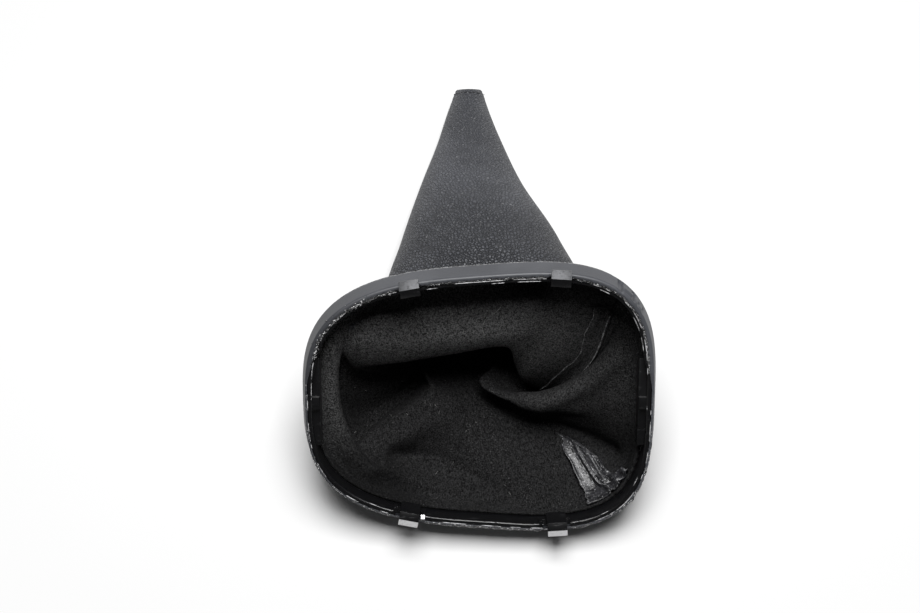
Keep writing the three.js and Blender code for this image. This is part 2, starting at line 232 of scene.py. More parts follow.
def glossyLeather():
    f = Finish("seam_allowance_leather")
    at = f.place()
    crumple = f.grain(at, 260, 3.0, 0.6)
    pits = f.pebbles(at, 900, 0.6)
    # painted highlight: sparse pale specks as glints
    paintedGlints = f.grain(at, 1500, 1.0).between(0.64, 0.7)
    colour = f.mix(crumple.between(0.3, 0.7), (0.006, 0.006, 0.0066, 1), (0.024, 0.024, 0.027, 1))
    colour = f.mix(paintedGlints * 0.7, colour, (0.35, 0.35, 0.36, 1))
    return f.set(Base_Color=colour, Roughness=0.3 + crumple * 0.2, Specular_IOR_Level=0.5,
                 Normal=f.bump(crumple + pits * 0.3, 0.0006, 0.6))


def framePlastic():
    f = Finish("moulded_plastic")
    at = f.place()
    broad = f.grain(at, 55)
    fine = f.grain(at, 1500, 2.0)
    scuffs = f.grain(f.scaled(at, (1, 6, 1), (0.2, 0.1, 0.5)), 220).between(0.62, 0.7)
    colour = f.mix(scuffs * 0.5, (0.0035, 0.0035, 0.004, 1), (0.02, 0.02, 0.022, 1))
    return f.set(Base_Color=colour, Roughness=0.22 + broad * 0.14 + scuffs * 0.14,
                 Specular_IOR_Level=0.5, Normal=f.bump(fine + scuffs * 0.5, 0.00012, 0.4))


# The hooks' ramps: pale metal on the near hooks as painted highlight, darkened as painted shade on the higher, far
# ones
def hookFaces():
    f = Finish("hook_ramps_painted_light")
    at = f.place()
    lines = f.grain(f.scaled(at, (1, 9, 9)), 500)
    marks = f.grain(at, 900).between(0.56, 0.7)
    # painted shade: the higher, far hooks' ramps darker
    paintedShadeHigh = f.axis(at, 2).between(0.035, 0.05)
    # painted highlight: pale metal colour on the ramps
    colour = f.mix(marks * 0.4, (0.72, 0.72, 0.73, 1), (0.36, 0.36, 0.37, 1))
    colour = f.mix(paintedShadeHigh, colour, f.mix(marks * 0.5, (0.075, 0.076, 0.08, 1), (0.03, 0.03, 0.032, 1)))
    return f.set(Base_Color=colour, Roughness=0.26 + lines * 0.12 + paintedShadeHigh * 0.2, Metallic=0.7,
                 Normal=f.bump(lines + marks * 0.6, 0.00015, 0.5))


def glueFinish():
    f = Finish("dried_glue")
    at = f.place()
    lumps = f.grain(at, 1500, 3.0, 0.65)
    # painted highlight: pale specks stretched along the ring as glints
    paintedGlints = f.grain(f.scaled(f.place("UV"), (0.3, 6, 1)), 3200, 2.0).between(0.54, 0.62)
    colour = f.mix(lumps.between(0.45, 0.7), (0.004, 0.004, 0.0045, 1), (0.03, 0.03, 0.032, 1))
    colour = f.mix(paintedGlints, colour, (0.85, 0.85, 0.86, 1))
    return f.set(Base_Color=colour, Roughness=0.14 + lumps * 0.3, Specular_IOR_Level=0.6,
                 Normal=f.bump(lumps, 0.0009, 0.9))


# Pale strands' colour: the cut leather's own paler colour on the cut edges, painted highlight on the seam ridge and
# the strip's far bead
def cutEdgeAndHighlightFinish():
    f = Finish("cut_edge_and_painted_highlight")
    at = f.place()
    paleBreakup = f.grain(at, 1100, 3.0, 0.65)
    colour = f.mix(paleBreakup.between(0.42, 0.62), (0.03, 0.03, 0.031, 1), (0.22, 0.22, 0.225, 1))
    return f.set(Base_Color=colour, Roughness=0.3 + paleBreakup * 0.25, Normal=f.bump(paleBreakup, 0.0004, 0.7))


def stretchedLeather():
    f = Finish("stretched_leather")
    at = f.place()
    broad = f.grain(at, 40)
    pebble = f.pebbles(at, 900, 0.8)
    fine = f.grain(at, 2600, 2.0)
    worn = f.grain(at, 150, 4.0, 0.65).between(0.55, 0.78)
    colour = f.mix(broad.between(0.35, 0.7), (0.047, 0.0492, 0.056, 1), (0.066, 0.0686, 0.077, 1))
    colour = f.mix(worn * 0.25, colour, (0.09, 0.0925, 0.1, 1))
    # painted shade: the strip darker towards its left end
    left = 1 - f.axis(at, 0).between(-0.062, -0.02)
    colour = f.mix(left * 0.5, colour, (0.018, 0.0187, 0.021, 1))
    return f.set(Base_Color=colour, Roughness=0.42 + broad * 0.1 + worn * 0.06,
                 Specular_IOR_Level=0.5, Normal=f.bump(pebble * 0.5 + fine * 0.25, 0.00018, 0.45))


# Pale colour for the rim's edge lines: painted highlight
def rimHighlightFinish():
    f = Finish("rim_painted_highlight")
    at = f.place()
    highlightPatches = f.grain(at, 420, 3.0, 0.65)
    colour = f.mix(highlightPatches.between(0.38, 0.58), (0.04, 0.04, 0.042, 1), (0.55, 0.55, 0.56, 1))
    return f.set(Base_Color=colour, Roughness=0.2 + highlightPatches * 0.2, Normal=f.bump(highlightPatches, 0.0003, 0.5))


def threadFinish():
    f = Finish("black_thread")
    at = f.place()
    twist = f.grain(f.scaled(at, (1, 3, 1), (0.4, 0.3, 0.7)), 3000, 2.0)
    colour = f.mix(twist.between(0.35, 0.65), (0.006, 0.006, 0.006, 1), (0.022, 0.022, 0.024, 1))
    return f.set(Base_Color=colour, Roughness=0.5 + twist * 0.2, Normal=f.bump(twist, 0.0002, 0.8))


def lintFinish():
    f = Finish("pale_lint")
    shade = f.grain(f.place(), 1500, 2.0)
    colour = f.mix(shade.between(0.3, 0.7), (0.09, 0.088, 0.085, 1), (0.3, 0.3, 0.29, 1))
    return f.set(Base_Color=colour, Roughness=0.75 + shade * 0.1)


leatherLook, fleeceLook = leatherOutside(), fleeceInside()
allowanceLook, plasticLook, glueLook = glossyLeather(), framePlastic(), glueFinish()
hookLook, threadLook, lintLook = hookFaces(), threadFinish(), lintFinish()
edgeLook, wrapLook, rimHighlightLook = cutEdgeAndHighlightFinish(), stretchedLeather(), rimHighlightFinish()
print("finishes made")


def wayAlong(points):
    return np.concatenate([[0], np.cumsum(np.linalg.norm(np.diff(points, axis=0), axis=1))])


def pointsAt(spots, way, line):
    return [[np.interp(spot, way, line[:, k]) for k in range(3)] for spot in spots]


# Outline of the ring's inner wall, evenly stepped, with its outward normal
def outlineTable():
    count, reach = 5760, 24
    angle = np.linspace(0, 2 * math.pi, count, endpoint=False)
    c, s = np.cos(angle), np.sin(angle)
    power = 2 / np.where(c > 0, ring["squareRight"], ring["squareLeft"])
    along = np.sign(c) * np.abs(c) ** power
    across = np.sign(s) * np.abs(s) ** power
    width = ring["widthLeft"] + (ring["widthRight"] - ring["widthLeft"]) * (along + 1) / 2
    points = np.stack([along * ring["innerLength"] / 2, across * width / 2], 1)
    closed = np.vstack([points, points[:1]])
    length = wayAlong(closed)
    even = np.linspace(0, length[-1], count, endpoint=False)
    table = np.stack([np.interp(even, length, closed[:, k]) for k in (0, 1)], 1)
    tangent = np.roll(table, -reach, 0) - np.roll(table, reach, 0)
    tangent /= np.linalg.norm(tangent, axis=1)[:, None]
    normal = np.stack([tangent[:, 1], -tangent[:, 0]], 1)
    return table, normal, length[-1]


outline, outlineNormal, outlineLength = outlineTable()


# Points at shares of the way round, set off outwards
def onOutline(turn, offset):
    place = (np.asarray(turn) % 1) * len(outline)
    low = np.floor(place).astype(int) % len(outline)
    high = (low + 1) % len(outline)
    part = (place - np.floor(place))[..., None]
    point = outline[low] * (1 - part) + outline[high] * part
    normal = outlineNormal[low] * (1 - part) + outlineNormal[high] * part
    return point + normal * np.asarray(offset)[..., None]


# From the ring's own axes to the table's, both in millimetres
def fromRing(along, across, depth):
    c, s = math.cos(leanAngle), math.sin(leanAngle)
    return np.stack([along, across * c + depth * s + lie["shift"],
                     lie["ringHeight"] + across * s - depth * c], -1)


def onRing(turn, offset, depth):
    point = onOutline(turn, offset)
    return fromRing(point[..., 0], point[..., 1], depth)


def nearestTurn(x, side):
    turn = np.linspace(0, 1, 4001)
    point = onOutline(turn, 0)
    miss = np.abs(point[:, 0] - x) + 100 * (np.sign(point[:, 1]) != side)
    return turn[np.argmin(miss)]


hookTurns = [nearestTurn(x, side) for x, side in ring["hooks"]]


# A smooth curve through the stations' values; single values are degrees and lap by 360
def aroundStations(at, values):
    place = np.array([s[0] for s in stations])
    place = np.concatenate([place - 1, place, place + 1, place + 2])
    values = np.asarray(values, float)
    lap = values.ndim == 1
    values = np.concatenate([values - 360 * lap, values, values + 360 * lap, values + 720 * lap])
    left = np.searchsorted(place, at, side="right") - 1
    gap = place[left + 1] - place[left]
    t = (at - place[left]) / gap

    def wide(x):
        return x if lap else x[..., None]

    def slope(i):
        return (values[i + 1] - values[i - 1]) / wide(place[i + 1] - place[i - 1]) * wide(gap)

    weights = [2 * t**3 - 3 * t**2 + 1, t**3 - 2 * t**2 + t, 3 * t**2 - 2 * t**3, t**3 - t**2]
    parts = [values[left], slope(left), values[left + 1], slope(left + 1)]
    return sum(wide(weight) * part for weight, part in zip(weights, parts))


# One section of the body; the last ones are pinched flat and cut on a slant
def bodyPoints(section, degrees):
    reach, offset, half, height, pinched = section
    angle = np.radians(degrees)
    floor = boot["leather"] / 2
    tall = height - floor
    bulge = np.sin(angle)
    bulge = bulge * (1 - pinched + pinched * np.abs(bulge))
    z = np.maximum(floor, floor + tall * 0.45 + tall * 0.55 * bulge)
    y = reach * boot["neckReach"] + lie["shift"] + boot["rimSlant"] * pinched * (1 - np.maximum(0, bulge))
    return np.stack([offset + half * np.cos(angle), y, z], -1)


# The leather's middle surface: rows of points from the glued margin to the neck for each share round
def leatherGrid(at, rowsPerSpan):
    glued = boot["marginGap"] + boot["leather"] / 2
    margin = onRing(at, -glued, ring["depth"] - boot["marginDepth"])
    bend = onRing(at, -glued - boot["marginTurn"], ring["depth"] + boot["turnPast"])
    folds = [fromRing(*aroundStations(at, [s[k] for s in stations]).T) for k in (1, 2, 3)]
    degrees = aroundStations(at, [s[4] for s in stations])
    bodyRows = [bodyPoints(section, degrees) for section in bodySections]
    tuck = folds[2] * boot["tuckShare"] + bodyRows[0] * (1 - boot["tuckShare"])
    tuck[:, 2] -= boot["tuckDrop"] * np.maximum(0, np.sin(np.radians(degrees)))
    knots = np.stack([margin, bend, *folds, tuck, *bodyRows], 1)
    knots[..., 2] = np.maximum(knots[..., 2], boot["leather"] / 2)
    padded = np.concatenate([2 * knots[:, :1] - knots[:, 1:2], knots, 2 * knots[:, -1:] - knots[:, -2:-1]], 1)
    gap = np.sum(np.diff(padded, axis=1) ** 2, -1) ** 0.25
    rows = []
    spans = knots.shape[1] - 1
    for i in range(spans):
        x0, x1, x2, x3 = (padded[:, i + k] for k in range(4))
        d0, d1, d2 = (gap[:, i + k, None] for k in range(3))
        d0, d2 = np.where(d0 < 1e-4, d1, d0), np.where(d2 < 1e-4, d1, d2)
        t1 = ((x1 - x0) / d0 - (x2 - x0) / (d0 + d1) + (x2 - x1) / d1) * d1
        t2 = ((x2 - x1) / d1 - (x3 - x1) / (d1 + d2) + (x3 - x2) / d2) * d1
        square, cube = -3 * x1 + 3 * x2 - 2 * t1 - t2, 2 * x1 - 2 * x2 + t1 + t2
        for step in range(rowsPerSpan + (i == spans - 1)):
            t = step / rowsPerSpan
            rows.append(x1 + t1 * t + square * t**2 + cube * t**3)
    grid = np.stack(rows, 1)
    knot = np.arange(grid.shape[1]) / rowsPerSpan
    press = creaseHeight(grid) * smooth(knot, 0.7, 1.3) * (1 - smooth(knot, 5.0, 5.8))
    grid = grid + gridNormals(grid) * press[..., None]
    grid[..., 2] = np.maximum(grid[..., 2], boot["leather"] / 2)
    return grid


def smooth(value, low, high):
    t = np.clip((np.asarray(value, float) - low) / (high - low), 0, 1)
    return t * t * (3 - 2 * t)


# The leather's normals, which point to its fleece side
def gridNormals(grid):
    normal = np.cross(np.gradient(grid, axis=0), np.gradient(grid, axis=1))
    return normal / np.maximum(np.linalg.norm(normal, axis=-1, keepdims=True), 1e-9)


def creaseHeight(grid):
    total = np.zeros(grid.shape[:-1])
    for height, reach, points in creases:
        nearest = np.full(total.shape, 1e9)
        for first, last in zip(np.array(points[:-1], float), np.array(points[1:], float)):
            run = last - first
            share = np.clip(((grid - first) @ run) / (run @ run), 0, 1)
            nearest = np.minimum(nearest, np.sum((grid - first - share[..., None] * run) ** 2, -1))
        total += height * np.exp(-nearest / reach ** 2)
    return total


def uvGrid(across, along):
    return np.stack(np.meshgrid(across, along, indexing="ij"), -1)


# A grid primitive with its points set in millimetres, none below the table, and its UV in metres
def gridPiece(name, points, uv, look):
    columns, rows = points.shape[:2]
    points = np.maximum(points, (-1e6, -1e6, 0))
    bpy.ops.mesh.primitive_grid_add(x_subdivisions=columns - 1, y_subdivisions=rows - 1, size=1, calc_uvs=True)
    piece = bpy.context.object
    piece.name = piece.data.name = name
    flat = np.zeros(len(piece.data.vertices) * 3)
    piece.data.vertices.foreach_get("co", flat)
    flat = flat.reshape(-1, 3)
    column = np.rint((flat[:, 0] + 0.5) * (columns - 1)).astype(int)
    row = np.rint((flat[:, 1] + 0.5) * (rows - 1)).astype(int)
    piece.data.vertices.foreach_set("co", (points[column, row] / 1000).ravel())
    loops = np.zeros(len(piece.data.loops), dtype=np.int32)
    piece.data.loops.foreach_get("vertex_index", loops)
    piece.data.uv_layers[0].data.foreach_set("uv", uv[column[loops], row[loops]].ravel())
    piece.data.materials.append(look)
    piece.data.update()
    bpy.ops.object.shade_smooth()
    return piece


def solidified(piece, thickness, secondLook=None):
    shell = piece.modifiers.new("thickness", "SOLIDIFY")
    shell.thickness = thickness / 1000
    shell.offset = 0
    shell.use_quality_normals = True
    if secondLook:
        piece.data.materials.append(secondLook)
        shell.material_offset = 1
    bpy.context.view_layer.objects.active = piece
    bpy.ops.object.modifier_apply(modifier=shell.name)


# Across at the tuck before the body, along as the mean of all columns
def realUv(grid):
    across = wayAlong(grid[:, -1 - boot["rowsPerSpan"] * len(bodySections)])
    along = np.concatenate([[0], np.cumsum(np.linalg.norm(np.diff(grid, axis=1), axis=2).mean(0))])
    return uvGrid(across / 1000, along / 1000)


def wayAcross(grid):
    return np.cumsum(np.linalg.norm(np.diff(grid, axis=0, prepend=grid[:1]), axis=-1), axis=0)


# Stitches round the neck's hem, which lie in a groove, and along the seams' turned edges
stitching = {
    "fromRim": 1.9, "groove": 0.22, "grooveWidth": 0.4, "count": 30, "pitch": 12, "shown": 8, "radius": 0.17,
    "seamRuns": (("upperSeam", (1.9, 3.5)), ("lowerSeam", (0.3, 2.9))), "seamFrom": 1.7, "seamStep": 3.4,
    "seamStart": 0.6, "seamLength": 2.1, "seamRoom": 2.2, "seamRadius": 0.2, "seamLift": 0.28,
}


def bootPanel(name, fromColumn, toColumn):
    count = round((toColumn - fromColumn) * boot["columnsPerStep"]) + 1
    step = 1 / boot["columns"]
    at = np.linspace(fromColumn * step, toColumn * step, count)
    at[0] += boot["endGap"] * step
    at[-1] -= boot["endGap"] * step
    grid = leatherGrid(at, boot["rowsPerSpan"])
    normal = gridNormals(grid)
    seamDistance = np.minimum(wayAcross(grid), wayAcross(grid[::-1])[::-1])
    knot = np.arange(grid.shape[1]) / boot["rowsPerSpan"]
    pinch = np.exp(-(seamDistance / boot["pinchWidth"]) ** 2) * smooth(knot, 1.0, 1.6)
    grid = grid + normal * (pinch * boot["seamPinch"])[..., None]
    toRim = np.cumsum(np.linalg.norm(np.diff(grid[:, ::-1], axis=1, prepend=grid[:, -1:]), axis=-1), axis=1)[:, ::-1]
    hem = boot["hem"] * (1 - smooth(toRim, boot["hemWidth"] - 1, boot["hemWidth"]))
    hem = hem - boot["rimRounding"] * (1 - smooth(toRim, 0, boot["rimRoundingWidth"]))
    groove = stitching["groove"] * np.exp(-((toRim - stitching["fromRim"]) / stitching["grooveWidth"]) ** 2)
    grid = grid - normal * (hem - groove)[..., None]
    grid[..., 2] = np.maximum(grid[..., 2], boot["leather"] / 2)
    panel = gridPiece(name, grid, realUv(grid), fleeceLook)
    solidified(panel, boot["leather"], leatherLook)
    for face in panel.data.polygons:
        if all(low < value * 1000 < high for value, low, high in zip(face.center, *boot["foldTip"])):
            face.material_index = 0
    return panel


mainPanel = bootPanel("boot_main_panel", boot["upperSeam"], boot["lowerSeam"])
endPanel = bootPanel("boot_end_panel", boot["lowerSeam"], boot["columns"] + boot["upperSeam"])
print("boot panels made", len(mainPanel.data.polygons), len(endPanel.data.polygons))
for panel, node in ((mainPanel, "main_panel"), (endPanel, "end_panel")):
    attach(panel, "root")
    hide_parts(node)


# 1 between two places round the ring, fading to 0 over the given share outside them
def stretch(turn, start, end, fade):
    return smooth(turn, start - fade, start) * (1 - smooth(turn, end, end + fade))


# How far the strip is folded over the rim's front, which it is on the upper half only
def foldedOver(turn):
    return stretch(turn, 0.035, 0.462, 0.02)


# Leather strip round the ring, its front edge cut ragged
def wrapPiece():
    steps, depth, thick, fold = wrap["steps"], ring["depth"], wrap["thickness"], wrap["foldTo"]
    inside = ring["wall"] + ring["clearance"]
    outside = inside + thick + ring["flare"]
    back = depth + ring["clearance"]
    # the strip's section: offset and depth of each corner
    section = [
        (inside, -0.04), (fold + 0.05, -0.06), (fold, -0.35), (fold + 0.2, -0.62),
        (inside + 0.1, -0.66), (inside + thick * 0.75, -0.4), (inside + thick, 0.3),
        (outside, depth - 2.4), (outside - 0.5, depth - 0.4), (outside - 1.8, back + thick),
        (outside - wrap["lip"] - 1.6, back + thick), (outside - wrap["lip"] - 1.6, back),
        (inside + ring["flare"] - 0.75, back), (inside + ring["flare"], depth - 2.6),
    ]
    fine = []
    for i, (a, d) in enumerate(section):
        a2, d2 = section[(i + 1) % len(section)]
        pieces = max(1, int(round(math.hypot(a2 - a, d2 - d) / wrap["sectionStep"])))
        outer = 4 <= i <= 8
        fine += [(a + (a2 - a) * k / pieces, d + (d2 - d) * k / pieces, outer) for k in range(pieces)]
    fine.append(fine[0])
    turn = np.linspace(0, 1, steps + 1)
    rough = noise.normal(size=steps)
    soft = sum(np.roll(rough, k) for k in (-1, 0, 1)) / 3
    broad = sum(np.roll(noise.normal(size=steps), k) for k in range(-9, 10)) / 5
    broad = np.append(broad, broad[0])
    jags = np.clip(np.append(soft, soft[0]) * 0.3 + broad * 0.12, *wrap["jag"])
    over = foldedOver(turn)
    points = []
    for offset, depthHere, outer in fine:
        edge = max(0, 1 - abs(depthHere) / 1.2)
        cut = min(1, max(0, (inside - offset) / 0.5))
        drop = jags * edge * (1 - cut) * (1 - over) - min(0, depthHere) * (1 - over) * 0.9
        swell = (inside - offset) * (1 - over) * (offset < inside) + jags * cut * over
        if outer:
            for start, end, low, high, proud in wrap["patches"]:
                inDepth = smooth(depthHere, low - 0.4, low + 0.2) * (1 - smooth(depthHere, high - 0.2, high + 0.4))
                swell += proud * stretch(turn, start, end, 0.0016) * inDepth
            swell += wrap["wallSwell"] * broad * smooth(depthHere, 0, 4)
        points.append(onRing(turn, offset + swell, depthHere + drop))
    return roundTheRing("frame_wrap_leather", turn, points, np.linspace(0, 0.035, len(points)), wrapLook)


# Rows that run once round the ring, closed both ways and welded
def roundTheRing(name, turn, rows, along, look):
    points = np.stack(rows, 1)
    points[-1], points[:, -1] = points[0], points[:, 0]
    piece = gridPiece(name, points, uvGrid(turn * outlineLength / 1000, along), look)
    closeUp(piece)
    return piece


def selectOnly(pieces):
    bpy.ops.object.select_all(action="DESELECT")
    for piece in pieces:
        piece.select_set(True)
    bpy.context.view_layer.objects.active = pieces[0]


def closeUp(piece):
    selectOnly([piece])
    bpy.ops.object.mode_set(mode="EDIT")
    bpy.ops.mesh.select_all(action="SELECT")
    bpy.ops.mesh.remove_doubles(threshold=0.000004)
    bpy.ops.mesh.normals_make_consistent(inside=False)
    bpy.ops.object.mode_set(mode="OBJECT")


wrapStrip = wrapPiece()
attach(wrapStrip, "root")
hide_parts("frame_wrap")
print("wrap made")

# Clip frame: the solid's mesh with rounded edges, and the hooks' outer faces given a pale metal finish as painted
# highlight
moulding = {
    "rounding": 0.16, "flatWithin": 1.5, "roundAbove": 32, "smoothBelow": 38,
    # the hooks' ramps: height over the rim, how far they face forwards and outwards
    "rampsAbove": 2.4, "rampTilt": (0.3, 0.97), "rampOutwards": 0.25,
}


def frameDetail():
    piece = bpy.data.objects.new("clip_frame_moulding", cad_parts["clip_frame"].data.copy())
    bpy.context.scene.collection.objects.link(piece)
    piece.data.materials.clear()
    for look in (plasticLook, hookLook):
        piece.data.materials.append(look)
    closeUp(piece)
    bpy.ops.object.mode_set(mode="EDIT")
    bpy.ops.mesh.select_all(action="SELECT")
    bpy.ops.mesh.dissolve_limited(angle_limit=math.radians(moulding["flatWithin"]))
    bpy.ops.object.mode_set(mode="OBJECT")
    rounding = piece.modifiers.new("rounding", "BEVEL")
    rounding.width, rounding.segments, rounding.limit_method = moulding["rounding"] / 1000, 2, "ANGLE"
    rounding.angle_limit = math.radians(moulding["roundAbove"])
    bpy.ops.object.modifier_apply(modifier=rounding.name)
    bpy.ops.object.shade_smooth_by_angle(angle=math.radians(moulding["smoothBelow"]))
    forwards = np.array([0, -math.sin(leanAngle), math.cos(leanAngle)])
    sideways = np.array([0, math.cos(leanAngle), math.sin(leanAngle)])
    centre = np.array([0, lie["shift"], lie["ringHeight"]])
    least, most = moulding["rampTilt"]
    for face in piece.data.polygons:
        middle, normal = np.array(face.center) * 1000 - centre, np.array(face.normal)
        outwards = math.copysign(1, middle @ sideways) * (normal @ sideways)
        ramp = middle @ forwards > moulding["rampsAbove"] and least < normal @ forwards < most
        face.material_index = int(ramp and outwards > moulding["rampOutwards"])
    return piece


clipFrame = frameDetail()
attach(clipFrame, "root")
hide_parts("clip_frame")
print("clip frame made")


# Points and normals on the leather beside a seam, row by row along it, at distances in millimetres
def besideSeam(seam, knots, distances):
    rowsPerSpan, rowsOut, spread = 8, 14, np.linspace(-0.05, 0.05, 161)
    grid = leatherGrid((boot[seam] / boot["columns"] + spread) % 1, rowsPerSpan)
    normal = gridNormals(grid)
    rowsAt = np.linspace(knots[0] * rowsPerSpan, knots[1] * rowsPerSpan, int((knots[1] - knots[0]) * rowsOut))
    strip, stripNormal = [], []
    for row in rowsAt:
        low = min(int(row), grid.shape[1] - 2)
        part = row - low
        line = grid[:, low] * (1 - part) + grid[:, low + 1] * part
        lineNormal = normal[:, low] * (1 - part) + normal[:, low + 1] * part
        way = wayAlong(line)
        way -= way[len(spread) // 2]
        strip.append(pointsAt(distances, way, line))
        stripNormal.append(pointsAt(distances, way, lineNormal))
    return np.array(strip), np.array(stripNormal)


# Both panels' turned edges lie open either side of the seam ridge
allowance = {
    "thickness": 0.75, "ridge": 1.5, "ridgeWidth": 0.95, "gap": 0.12, "leastLift": 0.55, "steps": 26,
    "edgeLift": 0.36, "ridgeLift": 0.34,
    # name, seam, knots along the leather, side, width at the ring, width at the far end, curl, crumple, fleece
    "flaps": [
        ("upper_allowance_left", "upperSeam", (1.7, 4.1), 1, 6.6, 5.8, 0.15, 0.3, True),
        ("upper_allowance_right", "upperSeam", (1.7, 4.1), -1, 5.0, 4.0, 0.05, 0.2, True),
        ("lower_allowance_left", "lowerSeam", (0.12, 3.25), -1, 11.0, 5.5, 0.5, 0.15, False),
        ("lower_allowance_right", "lowerSeam", (0.12, 3.1), 1, 11.0, 4.6, 0.5, 1.6, False),
    ],
}


def allowanceFlap(name, seam, knots, side, nearWidth, farWidth, curl, crumple, fleece):
    count = allowance["steps"]
    widest = max(nearWidth, farWidth)
    distances = side * np.linspace(allowance["gap"], widest, count)
    strip, normal = besideSeam(seam, knots, distances)
    rows = len(strip)
    out = np.abs(distances)
    wave = noise.normal(size=(rows, count))
    for _ in range(6):
        wave = (np.roll(wave, 1, 0) + wave + np.roll(wave, -1, 0)) / 3
        wave = (np.roll(wave, 1, 1) + wave + np.roll(wave, -1, 1)) / 3
    wave /= wave.std()
    run = np.linspace(0, 1, rows)[:, None]
    edge = smooth(out, 2.5, widest)
    waviness = np.sin(run * 23 + side) * 0.25 + np.sin(run * 41 + 2 * side) * 0.15
    lift = boot["leather"] / 2 + allowance["thickness"] / 2 + allowance["gap"]
    lift += allowance["ridge"] * np.exp(-(out / allowance["ridgeWidth"]) ** 2)
    lift = lift + edge * (curl + 0.35 * np.abs(waviness)) + crumple * 0.32 * wave * smooth(out, 0.8, 3)
    width = (nearWidth + (farWidth - nearWidth) * smooth(run, 0.15, 0.9)) / widest
    width = width * (1 + (0.1 if fleece else 0.04) * np.sin(run * 19 + 1) + 0.025 * np.sin(run * 61))
    fade = (smooth(run, 0, 0.1) if fleece else 1) * (1 - smooth(run, 0.86, 1))
    seamLine = strip[:, :1]
    points = seamLine + (strip - seamLine) * (width * (0.3 + 0.7 * fade))[..., None]
    points = points + normal * np.maximum(lift * fade, allowance["leastLift"])[..., None]
    piece = gridPiece(name, points, uvGrid(np.arange(rows) * 0.0007, out / 1000),
                      fleeceLook if fleece else allowanceLook)
    solidified(piece, allowance["thickness"])
    return piece, points, normal


flaps, flapLines = [], {}
for values in allowance["flaps"]:
    flap, points, normal = allowanceFlap(*values)
    flaps.append(flap)
    flapLines[flap.name] = (points[:, -1] + normal[:, -1] * allowance["edgeLift"],
                            points[:, 0] + normal[:, 0] * allowance["ridgeLift"])
for flap in flaps:
    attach(flap, "root")
print("seam allowances made")


# A thin round strand through the given points, in millimetres
def strandPiece(name, path, radii, look, sides):
    path = np.array(path, float)
    ahead = np.gradient(path, axis=0)
    ahead /= np.linalg.norm(ahead, axis=1)[:, None]
    side = np.cross(ahead, [0.31, 0.22, 0.93])
    side /= np.linalg.norm(side, axis=1)[:, None]
    up = np.cross(side, ahead)
    turn = np.linspace(0, 2 * math.pi, sides + 1)
    turn[-1] = 0
    c, s = np.cos(turn)[None, :, None], np.sin(turn)[None, :, None]
    points = path[:, None] + np.asarray(radii)[:, None, None] * (c * side[:, None] + s * up[:, None])
    return gridPiece(name, points, uvGrid(np.arange(len(path)) * 0.0005, turn * 0.0001), look)


def joined(name, bits):
    selectOnly(bits)
    bpy.ops.object.join()
    piece = bpy.context.object
    piece.name = piece.data.name = name
    closeUp(piece)
    return piece


def tapered(count, radius):
    t = np.linspace(0, 1, count)
    return radius * np.clip(1.25 * np.sin(math.pi * (0.02 + 0.96 * t)) ** 0.4, 0.02, 1)


# Line of stitches round the neck's hem
def neckStitches():
    bits, line = [], []
    around = np.linspace(0, 1, stitching["count"] * stitching["pitch"], endpoint=False)
    grid = leatherGrid(around, boot["rowsPerSpan"])
    normal = gridNormals(grid)
    along = np.cumsum(np.linalg.norm(np.diff(grid[:, ::-1], axis=1), axis=2), axis=1)
    proud = boot["leather"] / 2 + boot["hem"] + 0.06
    for c in range(len(around)):
        row = -2 - np.searchsorted(along[c], stitching["fromRim"])
        line.append(grid[c, row] - normal[c, row] * proud)
    for i in range(stitching["count"]):
        path = line[i * stitching["pitch"]:][:stitching["shown"]]
        bits.append(strandPiece("stitch", path, tapered(len(path), stitching["radius"]), threadLook, 6))
    return joined("neck_stitches", bits)


# Stitches that hold the turned edges down, seen on the allowances
def seamStitches():
    bits = []
    lift = boot["leather"] / 2 + allowance["thickness"] + stitching["seamLift"]
    for seam, knots in stitching["seamRuns"]:
        for side in (-1, 1):
            strip, normal = besideSeam(seam, knots, [side * stitching["seamFrom"]])
            run = strip[:, 0] + normal[:, 0] * lift
            way = wayAlong(run)
            place = stitching["seamStart"]
            while place + stitching["seamRoom"] < way[-1]:
                path = pointsAt(np.linspace(place, place + stitching["seamLength"], 7), way, run)
                bits.append(strandPiece("stitch", path, tapered(7, stitching["seamRadius"]), threadLook, 6))
                place += stitching["seamStep"]
    return joined("seam_stitches", bits)


# Pale strands on the allowances' cut edges, partly the cut leather's paler colour and partly painted highlight, and
# on the ridge between them as painted highlight: edge and ridge radius, shares that show
paleLines = (("upper_allowance_left", 0.15, 0.28, 0.12, 0.88), ("lower_allowance_left", 0.15, 0.26, 0.0, 0.9))


def cutEdgesAndRidgeHighlights():
    bits = []
    for name, edgeRadius, ridgeRadius, start, end in paleLines:
        edge, ridge = flapLines[name]
        for line, radius in ((edge, edgeRadius), (ridge, ridgeRadius)):
            part = line[int(start * len(line)):int(end * len(line))]
            rough = 1 + 0.3 * np.clip(noise.normal(size=len(part)), -1.5, 1.5)
            bits.append(strandPiece("edge", part, tapered(len(part), radius) * rough, edgeLook, 6))
    return joined("cut_edges_and_painted_ridge_highlights", bits)


neckThread, seamThread, paleEdges = neckStitches(), seamStitches(), cutEdgesAndRidgeHighlights()
for piece in (neckThread, seamThread, paleEdges):
    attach(piece, "root")
print("stitches made")

# Dried glue along the ring's front edge, but not at the hooks
glueEdge = {
    "steps": 1500, "sides": 10, "middle": 2.05, "below": 0.12, "inwards": 1.2, "hookHalf": 0.0145, "hookFade": 0.003,
    # start, end, how much
    "runs": [(0.345, 0.452, 1.05), (0.165, 0.335, 0.5), (0.035, 0.16, 0.55), (0.55, 0.66, 0.25), (0.67, 0.9, 0.4),
             (0.9, 0.96, 0.3)],
}


